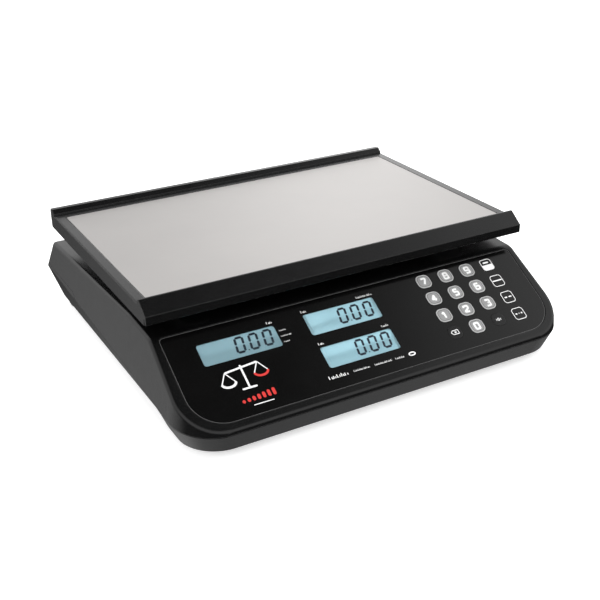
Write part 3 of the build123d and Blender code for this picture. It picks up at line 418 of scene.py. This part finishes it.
# worked takes: lower grey, higher grey, roughness, metallic, grain size, depth of the grain
finishes = {
    "case_black": glossyMoulding("glossyCase", 0.0026, 0.20),
    "panel_black": panelFilm(),
    "clear_window": clearWindow(),
    "lcd_glass": displayGlass(),
    "diffuser_white": worked("diffuserSheet", 0.62, 0.72, 0.45, 0.0, 0.6 * mm, 0.01 * mm),
    "board_green": circuitBoard(),
    "key_silver": paintedKey(),
    "key_black": glossyMoulding("blackPads", 0.003, 0.22, 0.25 * mm, 0.004 * mm),
    "spring_steel": worked("springSteel", 0.55, 0.68, 0.22, 1.0, 0.3 * mm, 0.004 * mm, (1, 0.1, 1)),
    "battery_grey": worked("batteryCase", 0.045, 0.07, 0.5, 0.0, 0.5 * mm, 0.03 * mm),
    "zinc_steel": worked("zincPlate", 0.42, 0.58, 0.32, 1.0, 1.2 * mm, 0.01 * mm, warm=0.02),
    "black_steel": worked("blackSteel", 0.02, 0.035, 0.42, 0.7, 0.5 * mm, 0.01 * mm),
    "aluminium": worked("milledAluminium", 0.62, 0.74, 0.30, 1.0, 0.5 * mm, 0.008 * mm, (0.04, 1, 1)),
    "cast_aluminium": worked("castAluminium", 0.36, 0.50, 0.50, 1.0, 0.9 * mm, 0.06 * mm),
    "stainless": satinSteel(),
    "rubber": worked("footRubber", 0.012, 0.02, 0.78, 0.0, 0.3 * mm, 0.03 * mm),
    "foot_black": worked("footDisc", 0.015, 0.024, 0.38, 0.0, 0.3 * mm, 0.01 * mm),
    "switch_black": worked("switchBlack", 0.010, 0.017, 0.30, 0.0, 0.25 * mm, 0.008 * mm),
    "cable_grey": worked("cableJacket", 0.16, 0.22, 0.48, 0.0, 0.4 * mm, 0.02 * mm),
    "vial_clear": vialLiquid(),
}
for node in nodes.values():
    for slot in node.material_slots:
        slot.material = finishes[slot.material.name.split(".")[0]]
whiteInk = printInk("whiteInk", grey(0.84), grey(0.74))
redInk = printInk("redInk", (0.62, 0.035, 0.03, 1), (0.50, 0.025, 0.02, 1))
segmentInk = printInk("segmentInk", (0.002, 0.006, 0.014, 1), (0.004, 0.009, 0.020, 1))
greyInk = printInk("greyInk", grey(0.50), grey(0.40))
shadeInk = printInk("shadeInk", grey(0.07), grey(0.055))
# the film's edge bead: its grey, far paler than the black film, is partly a painted highlight along a real
# rounded edge
filmEdgeHighlightFinish = worked("filmEdge", 0.07, 0.10, 0.16, 0.0, 0.4 * mm, 0.004 * mm)
print("finishes and inks made")


class Face:
    # a flat face: x runs to its reader's right, y up it and z out of it
    def __init__(self, right, out):
        self.right = np.array(right, float)
        self.out = np.array(out, float) / np.linalg.norm(out)
        self.up = np.cross(self.out, self.right)
        self.origin = np.zeros(3)

    def span(self, name, axis):
        # lowest and highest reach of a piece along x, y or z of this face
        places = np.array([vertex.co for vertex in nodes[name].data.vertices], float)
        along = (places - self.origin) @ (self.right, self.up, self.out)[axis]
        return along.min(), along.max()

    def middle(self, name, axis):
        return sum(self.span(name, axis)) / 2

    def place(self, points):
        # row = origin + x right + y up + z out
        return self.origin + points @ np.array([self.right, self.up, self.out])


console = Face((1, 0, 0), joints["key_5_press"]["axis"])
console.origin = console.up * console.middle("key_0", 1) + console.out * console.span("console_overlay", 2)[1]

inkPlan = {"sunk": 0.03 * mm, "proud": 0.05 * mm}
bandSection = np.array([(-1, 0), (-1, 0.6), (-0.85, 1), (0.85, 1), (1, 0.6), (1, 0)])


def carriedBand(path, halfWidth, floor, lift, closed):
    # the section (w, h) carried along the path:
    # p(i, j) = path(i) + w(j) halfWidth(i) side(i), z = floor + h(j) lift
    path = np.asarray(path, float)
    count, around = len(path), len(bandSection)
    before, after = np.roll(path, 1, 0), np.roll(path, -1, 0)
    if not closed:
        before[0], after[-1] = path[0], path[-1]
    tangent = after - before
    tangent /= np.linalg.norm(tangent, axis=1)[:, None]
    side = np.stack([-tangent[:, 1], tangent[:, 0]], 1)
    wide = np.broadcast_to(np.asarray(halfWidth, float), (count,))
    flat = path[:, None, :] + (side * wide[:, None])[:, None, :] * bandSection[None, :, :1]
    height = np.broadcast_to(floor + lift * bandSection[:, 1], (count, around))
    points = np.concatenate([flat, height[:, :, None]], 2).reshape(-1, 3)
    i, j = np.meshgrid(np.arange(count if closed else count - 1), np.arange(around), indexing="ij")
    nextI, nextJ = (i + 1) % count, (j + 1) % around
    faces = np.stack([i * around + j, i * around + nextJ, nextI * around + nextJ, nextI * around + j], -1)
    faces = faces.reshape(-1, 4).tolist()
    if not closed:
        faces.append(list(range(around))[::-1])
        faces.append(list(range((count - 1) * around, count * around)))
    return points, faces


def roundedLoop(width, height, radius, steps):
    # corner arcs of a rounded rectangle: corner + radius (cos a, sin a), a running through each quarter
    quarter = np.arange(4)[:, None]
    angle = (quarter + np.linspace(0, 1, steps)[None, :]) * math.pi / 2
    signX = np.where((quarter == 0) | (quarter == 3), 1, -1)
    signY = np.where(quarter < 2, 1, -1)
    x = signX * (width / 2 - radius) + radius * np.cos(angle)
    y = signY * (height / 2 - radius) + radius * np.sin(angle)
    return np.stack([x, y], -1).reshape(-1, 2)


def ellipseLoop(centre, reach, start, end, steps=33):
    # centre + (a cos t, b sin t), t from start to end in degrees
    angle = np.radians(np.linspace(start, end, steps))
    return np.stack([centre[0] + reach[0] * np.cos(angle), centre[1] + reach[1] * np.sin(angle)], -1)


def straightLine(first, last, steps):
    # first + u (last - first)
    share = np.linspace(0, 1, steps)[:, None]
    return np.asarray(first) * (1 - share) + np.asarray(last) * share


def signedVolume(points, faces):
    total = 0.0
    for face in faces:
        corners = points[face]
        total += np.cross(corners[1:-1] - corners[0], corners[2:] - corners[0]).sum(0) @ corners.mean(0)
    return total


def addPiece(name, parts, finish, body, face):
    # joins closed parts, turns each outward, lays them on the face and rides the body
    points, faces, offset = [], [], 0
    for places, polygons in parts:
        places = np.asarray(places, float)
        if signedVolume(places - places.mean(0), polygons) < 0:
            polygons = [polygon[::-1] for polygon in polygons]
        points.append(places)
        faces += [[corner + offset for corner in polygon] for polygon in polygons]
        offset += len(places)
    mesh = bpy.data.meshes.new(name)
    mesh.from_pydata(face.place(np.concatenate(points)).tolist(), [], faces)
    mesh.materials.append(finish)
    piece = bpy.data.objects.new(name, mesh)
    bpy.context.scene.collection.objects.link(piece)
    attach(piece, body)


def inkBand(path, halfWidth, closed=True, height=0.0):
    floor = height - inkPlan["sunk"]
    return carriedBand(path, halfWidth, floor, inkPlan["sunk"] + inkPlan["proud"], closed)


def inkStroke(first, last, halfWidth):
    # a bar with rounded ends: its half width follows a quarter circle at each end
    first, last = np.asarray(first, float), np.asarray(last, float)
    length = np.linalg.norm(last - first)
    inset = np.array([0.0, 0.08, 0.3, 0.65, 1.0]) * min(halfWidth, length / 2)
    along = np.concatenate([inset, length - inset[::-1]]) / length
    path = first + along[:, None] * (last - first)
    near = np.clip(1 - np.concatenate([inset, inset[::-1]]) / halfWidth, 0, 1)
    wide = halfWidth * np.sqrt(np.clip(1 - near**2, 0.02, 1))
    return inkBand(path, wide, False)


digitPlan = {
    "height": 12.4 * mm,
    "width": 6.1 * mm,
    "pitch": 11.6 * mm,
    "stroke": 0.98 * mm,  # half width of a segment
    "taper": 0.12,  # share of a segment's length over which an end narrows
    "tip": 0.35,  # share of the width left at the very end
    "gap": 0.35 * mm,
    "slant": 0.15,  # rightward lean for each unit of height
    "fromRight": 7.7 * mm,  # from the glass's right edge to the last digit's lower right corner
    "fromLow": 7.9 * mm,
    "proud": 0.03 * mm,
    "pointAlong": 0.16,  # the decimal point's place, in pitches past the digit before it
    "pointDrop": 0.2 * mm,
    "pointRun": (0.2 * mm, 0.9 * mm),
    "pointHalf": 0.5 * mm,
}


def segmentZero(left, low, plan):
    # the six outer bars of a leaning rectangle, clockwise from the top; a point (x, y) leans by slant y
    wide, tall, gap = plan["width"], plan["height"], plan["gap"]
    ends = (
        ((gap, tall), (wide - gap, tall)),
        ((wide, tall / 2 + gap), (wide, tall - gap)),
        ((wide, gap), (wide, tall / 2 - gap)),
        ((gap, 0), (wide - gap, 0)),
        ((0, gap), (0, tall / 2 - gap)),
        ((0, tall / 2 + gap), (0, tall - gap)),
    )
    half = plan["stroke"] * np.array([plan["tip"], 1, 1, plan["tip"]])
    bars = []
    for pair in ends:
        first, last = np.array(pair, float)
        taper = (last - first) * plan["taper"]
        path = np.stack([first, first + taper, last - taper, last])
        path[:, 0] += left + plan["slant"] * path[:, 1]
        path[:, 1] += low
        bars.append((path, half))
    return bars


def zeroReading(right, low, plan):
    # "0.00", the last digit ending at right
    bars = []
    for place in range(3):
        left = right - plan["width"] - plan["stroke"] - place * plan["pitch"]
        bars += segmentZero(left, low, plan)
    x = right - 2 * plan["pitch"] + plan["pointAlong"] * plan["pitch"]
    y = low - plan["pointDrop"]
    lean, rise = plan["pointRun"]
    bars.append((straightLine((x, y), (x + lean, y + rise), 3), np.full(3, plan["pointHalf"])))
    return bars


def addReading(name, glass, plan, face, body):
    top = face.span(glass, 2)[1]
    right = face.span(glass, 0)[1] - plan["fromRight"]
    low = face.span(glass, 1)[0] + plan["fromLow"]
    lift = plan["proud"]
    bars = zeroReading(right, low, plan)
    parts = [carriedBand(path, half, top - lift, 2 * lift, False) for path, half in bars]
    addPiece(name, parts, segmentInk, body, face)


for window in ("weight", "unit_price", "total"):
    addReading(window + "_reading", "lcd_" + window, digitPlan, console, "base")
print("console readings added")

keyPlan = {
    "ringInset": 0.45 * mm,
    "ringHalf": 0.30 * mm,
    "innerInset": 1.35 * mm,
    "innerHalf": 0.16 * mm,
    "ringBend": 4.2 * mm,
    "innerBend": 3.4 * mm,
    "smallBend": 2.4 * mm,  # the ring of a function key
    "reach": (1.95 * mm, 2.75 * mm),  # from a digit's middle to the middle of its outer strokes
    "stroke": 0.86 * mm,
    "bend": 0.9 * mm,
}
digitLines = {  # strokes through points in parts of the reach; True closes one into a loop
    0: (((-1, -1), (1, -1), (1, 1), (-1, 1), True),),
    1: (((-0.75, 0.45), (0.2, 1), (0.2, -1), False),),
    2: (((-1, 0.45), (-1, 1), (1, 1), (1, 0.15), (-1, -0.75), (-1, -1), (1, -1), False),),
    3: (((-0.95, 1), (1, 1), (1, 0), (-0.2, 0), False), ((-0.2, 0), (1, 0), (1, -1), (-0.95, -1), False)),
    4: (((0.45, -1), (0.45, 1), (-1, -0.4), (1.15, -0.4), False),),
    5: (((0.95, 1), (-0.9, 1), (-0.9, 0.15), (1, 0.15), (1, -1), (-0.95, -1), False),),
    6: (((-1, -1), (1, -1), (1, 0.1), (-1, 0.1), True), ((-1, -0.5), (-1, 1), (0.9, 1), False)),
    7: (((-1, 1), (1, 1), (1, 0.6), (-0.25, -1), False),),
    8: (((-0.9, 0.05), (0.9, 0.05), (0.9, 1), (-0.9, 1), True),
        ((-1, -1), (1, -1), (1, 0.05), (-1, 0.05), True)),
    9: (((1, 1), (-1, 1), (-1, -0.1), (1, -0.1), True), ((1, 0.5), (1, -1), (-0.9, -1), False)),
}


def bentLine(points, bend, closed):
    # straight runs joined by bends: (1 - u)^2 a + 2 u (1 - u) corner + u^2 b, a and b at bend from the corner
    points = np.asarray(points, float)
    count = len(points)
    path = []
    for i in range(count):
        if not closed and i in (0, count - 1):
            path.append(points[i][None])
            continue
        corner, before, after = points[i], points[i - 1], points[(i + 1) % count]
        ends = []
        for other in (before, after):
            away = np.linalg.norm(other - corner)  # a bend takes no more than 0.45 of a run
            ends.append(corner + (other - corner) * min(bend, 0.45 * away) / away)
        u = np.linspace(0, 1, 6)[:, None]
        path.append((1 - u) ** 2 * ends[0] + 2 * u * (1 - u) * corner + u**2 * ends[1])
    return np.concatenate(path)


def digitParts(number, plan):
    parts = []
    for *points, closed in digitLines[number]:
        path = bentLine(np.array(points) * plan["reach"], plan["bend"], closed)
        parts.append(inkBand(path, plan["stroke"], closed))
    return parts


def keyCentre(name):
    return np.array([console.middle(name, 0), console.middle(name, 1), console.span(name, 2)[1]])


def shifted(part, centre):
    return np.asarray(part[0]) + centre, part[1]


def keyRing(name, inset, half, bend):
    # a rounded ring inside the edge of a key
    left, right = console.span(name, 0)
    low, high = console.span(name, 1)
    loop = roundedLoop(right - left - 2 * inset, high - low - 2 * inset, bend, 10)
    return shifted(inkBand(loop, half), keyCentre(name))


def addDigitKey(number, plan):
    name = "key_" + str(number)
    body = name + "_body"
    ring = keyRing(name, plan["ringInset"], plan["ringHalf"], plan["ringBend"])
    inner = keyRing(name, plan["innerInset"], plan["innerHalf"], plan["innerBend"])
    sign = [shifted(part, keyCentre(name)) for part in digitParts(number, plan)]
    addPiece(name + "_ring", [ring], greyInk, body, console)
    addPiece(name + "_inner_ring", [inner], shadeInk, body, console)
    addPiece(name + "_print", sign, whiteInk, body, console)


for number in range(10):
    addDigitKey(number, keyPlan)


signPlan = {  # in mm
    "tag": ((-3.6, 0), (-1.9, 1.8), (3.3, 1.8), (3.3, -1.8), (-1.9, -1.8)),
    "cross": (((-0.5, 0.8), (1.4, -0.8)), ((-0.5, -0.8), (1.4, 0.8))),
    "tagHalf": 0.32,
    "nought": (0.7, 1.2),
    "noughtHalf": 0.28,
    "arrowTip": 1.5,
    "arrowTail": (2.4, 0.8),
    "arrowHalf": 0.25,
}


def eraseSign(plan):
    # an arrow-shaped tag with a cross in it
    tag = np.array(plan["tag"]) * mm
    strokes = [(tag[i], tag[(i + 1) % len(tag)]) for i in range(len(tag))]
    strokes += [np.array(line) * mm for line in plan["cross"]]
    return [inkStroke(first, last, plan["tagHalf"] * mm) for first, last in strokes]


def zeroSign(plan):
    # a small nought between two arrowheads; the loop stops short of closing, as a band joins its ends
    wide, tall = plan["nought"]
    tailX, tailY = plan["arrowTail"]
    parts = [inkBand(ellipseLoop((0, 0), (wide * mm, tall * mm), 0, 350, 24), plan["noughtHalf"] * mm)]
    for side in (-1, 1):
        tip = (side * plan["arrowTip"] * mm, 0)
        for wing in (-1, 1):
            tail = (side * tailX * mm, wing * tailY * mm)
            parts.append(inkStroke(tail, tip, plan["arrowHalf"] * mm))
    return parts


functionMarks = {  # bars from end to end with their half height, in mm
    "key_f1": (((-3.0, 2.2), (2.6, 2.2), 0.75),),
    "key_f2": (((-4.7, 0.2), (4.7, 0.2), 0.55),),
    "key_f3": (((-3.6, 0.0), (-0.8, 0.0), 0.6), ((0.6, 0.0), (3.6, 0.0), 0.6)),
    "key_f4": (((-3.6, 0.0), (-1.6, 0.0), 0.7), ((-0.2, 0.0), (0.6, 0.0), 0.7),
               ((2.0, 0.0), (3.6, 0.0), 0.7)),
}
solidPlan = {  # the solid lower half of one function key, in mm
    "rows": 6,
    "first": -0.5,
    "step": 0.82,
    "half": 0.44,
    "inset": 0.75,
    "cornerInset": 0.5,  # more on the last row, beside the ring's bends
}


def solidRows(name, plan):
    # rows that meet, from the middle of the key down
    left, right = console.span(name, 0)
    parts = []
    for row in range(plan["rows"]):
        level = plan["first"] * mm - row * plan["step"] * mm
        isLast = row == plan["rows"] - 1
        reach = (right - left) / 2 - (plan["inset"] + plan["cornerInset"] * isLast) * mm
        parts.append(inkStroke((-reach, level), (reach, level), plan["half"] * mm))
    return parts


def addFunctionKey(name, marks, plan):
    parts = [inkStroke(np.array(first) * mm, np.array(last) * mm, half * mm) for first, last, half in marks]
    if name == "key_f1":
        parts += solidRows(name, solidPlan)
    parts = [shifted(part, keyCentre(name)) for part in parts]
    parts.append(keyRing(name, plan["ringInset"], plan["ringHalf"], plan["smallBend"]))
    addPiece(name + "_print", parts, whiteInk, name + "_body", console)


for name, marks in functionMarks.items():
    addFunctionKey(name, marks, keyPlan)
for name, sign in (("key_clear", eraseSign), ("key_zero", zeroSign)):
    parts = [shifted(part, keyCentre(name)) for part in sign(signPlan)]
    addPiece(name + "_print", parts, whiteInk, name + "_body", console)
print("key print added")


tickPlan = {  # in parts of a row's half height
    "tops": (1.0, 0.62, 0.8, 0.55, 1.0, 0.7),  # how much of the full height each tick takes
    "lead": 0.3,
    "tick": 0.24,
    "hook": 0.8,
    "hookLine": 0.2,
    "pitch": 1.0,
    "widePitch": 1.5,
}


def tickRow(left, right, level, half, plan):
    # small upright ticks of uneven height that fill left to right, some joined below into a hook
    tops = plan["tops"]
    hook = plan["hook"] * half
    parts = []
    at = left + plan["lead"] * half
    turn = 0
    while at < right:
        top = level - half + 2 * half * tops[turn % len(tops)]
        parts.append(inkStroke((at, level - half), (at, top), plan["tick"] * half))
        if turn % 3 == 1:
            parts.append(inkStroke((at, level - hook), (at + hook, level - hook), plan["hookLine"] * half))
        at += half * (plan["pitch"] if turn % 4 else plan["widePitch"])
        turn += 1
    return parts


labelPlan = {  # left, right, height up the console, half height, in mm
    "weightUnit": (-77.4, -73.0, 51.9, 1.1),
    "weightSign1": (-70.4, -65.2, 43.0, 0.6),
    "weightSign2": (-71.0, -62.0, 38.0, 0.6),
    "weightSign3": (-70.7, -65.8, 32.8, 0.6),
    "priceUnit": (-46.9, -42.4, 53.4, 1.1),
    "priceName": (3.0, 17.0, 53.3, 0.9),
    "totalUnit": (-46.5, -42.2, 22.9, 1.1),
    "totalName": (10.4, 16.9, 22.9, 0.9),
    "rating1": (-52.2, -34.6, -6.6, 1.5),
    "rating2": (-30.6, -16.0, -6.7, 0.8),
    "rating3": (-12.0, 2.8, -6.8, 0.8),
    "rating4": (6.8, 14.3, -6.9, 0.8),
}
ratingRing = {"centre": (22.3 * mm, -6.8 * mm), "reach": (2.7 * mm, 1.3 * mm), "half": 0.5 * mm}
filmParts = []
for left, right, level, half in labelPlan.values():
    filmParts += tickRow(left * mm, right * mm, level * mm, half * mm, tickPlan)
ringPath = ellipseLoop(ratingRing["centre"], ratingRing["reach"], 0, 350, 36)
filmParts.append(inkBand(ringPath, ratingRing["half"]))

emblemPlan = {  # a beam balance, in mm
    "foot": (-112.0, 4.6),
    "footReach": 6,
    "mast": 17.5,
    "finial": 2.2,
    "beam": 13.5,
    "lean": 0.09,
    "drop": 8.5,
    "pan": (5.4, 3.4),
    "line": 0.75,
    "hangerLine": 0.55,  # in parts of the line, as is the next
    "panLine": 1.2,
}


def beamBalance(plan):
    # mast, foot, leaning beam, two hangers each side and a half-round pan; the right pan comes back apart
    footX, footY = plan["foot"]
    top, half = footY + plan["mast"], plan["line"] * mm
    beam, reach = plan["beam"], plan["footReach"]
    rise = plan["lean"] * beam
    panWide, panDeep = plan["pan"]
    strokes = [((footX, footY), (footX, top + plan["finial"]), half)]
    strokes.append(((footX - reach, footY), (footX + reach, footY), half))
    strokes.append(((footX - beam, top - rise), (footX + beam, top + rise), half))
    pans = []
    for side in (-1, 1):
        x, y = footX + side * beam, top + side * rise
        low = y - plan["drop"]
        for wing in (-1, 1):
            strokes.append(((x, y), (x + wing * panWide, low), half * plan["hangerLine"]))
        path = ellipseLoop((x * mm, low * mm), (panWide * mm, panDeep * mm), 180, 360)
        pans.append(inkBand(path, half * plan["panLine"], False))
    white = [inkStroke(np.array(first) * mm, np.array(last) * mm, wide) for first, last, wide in strokes]
    return white + pans[:1], pans[1:]


whiteParts, redParts = beamBalance(emblemPlan)
filmParts += whiteParts
barPlan = {  # a rising row of bars below the emblem and a line under them, in mm
    "count": 7,
    "left": -121.0,
    "pitch": 4.1,
    "foot": -6.3,
    "top": -3.6,
    "rise": 0.55,
    "half": 1.25,
    "line": (-115.2, -98.9),
    "lineLevel": -9.6,
    "lineHalf": 0.35,
}
for step in range(barPlan["count"]):
    x = (barPlan["left"] + barPlan["pitch"] * step) * mm
    top = (barPlan["top"] + barPlan["rise"] * step) * mm
    redParts.append(inkStroke((x, barPlan["foot"] * mm), (x, top), barPlan["half"] * mm))
lineEnds = [(x * mm, barPlan["lineLevel"] * mm) for x in barPlan["line"]]
filmParts.append(inkStroke(*lineEnds, barPlan["lineHalf"] * mm))
edgePlan = {
    "inset": 0.45 * mm,
    "half": 0.20 * mm,
    "rise": 0.12 * mm,
    "lowBend": 26.5 * mm,
    "topBend": 3.5 * mm,
}


def filmEdge(plan):
    # the film's rounded edge as one bead along its outline, with wide lower and tight upper corners
    left, right = console.span("console_overlay", 0)
    low, high = console.span("console_overlay", 1)
    inset = plan["inset"]
    path = []
    for x, y, bend, start in ((right, high, plan["topBend"], 0), (left, high, plan["topBend"], 90),
                              (left, low, plan["lowBend"], 180), (right, low, plan["lowBend"], 270)):
        centre = (x - np.sign(x) * (inset + bend), y - np.sign(y) * (inset + bend))
        path.append(ellipseLoop(centre, (bend, bend), start, start + 90, 12))
    return inkBand(np.concatenate(path), plan["half"], True, plan["rise"])


addPiece("console_film_edge", [filmEdge(edgePlan)], filmEdgeHighlightFinish, "base", console)
addPiece("console_print_white", filmParts, whiteInk, "base", console)
addPiece("console_print_red", redParts, redInk, "base", console)
print("console print added")

customerPlan = {
    **digitPlan,
    "height": 11.0 * mm,
    "width": 5.6 * mm,
    "pitch": 10.2 * mm,
    "fromRight": 8.0 * mm,
    "fromLow": 4.4 * mm,
    "step": 78.0 * mm,  # from one customer display to the next
}


def largestNormal(name):
    # outward normal of the largest flat on a thin plate, on its rear side
    flat = max(nodes[name].data.polygons, key=lambda polygon: polygon.area)
    return flat.normal * (1 if flat.normal.y > 0 else -1)


back = Face((-1, 0, 0), largestNormal("customer_window"))
customerTop = back.span("customer_lcds", 2)[1]
customerLow = back.span("customer_lcds", 1)[0] + customerPlan["fromLow"]
customerRight = back.span("customer_lcds", 0)[1] - customerPlan["fromRight"]
customerLift = customerPlan["proud"]
customerParts = []
for column in range(3):
    right = customerRight - column * customerPlan["step"]
    for path, half in zeroReading(right, customerLow, customerPlan):
        customerParts.append(carriedBand(path, half, customerTop - customerLift, 2 * customerLift, False))
addPiece("customer_readings", customerParts, segmentInk, "base", back)
print("customer readings added")
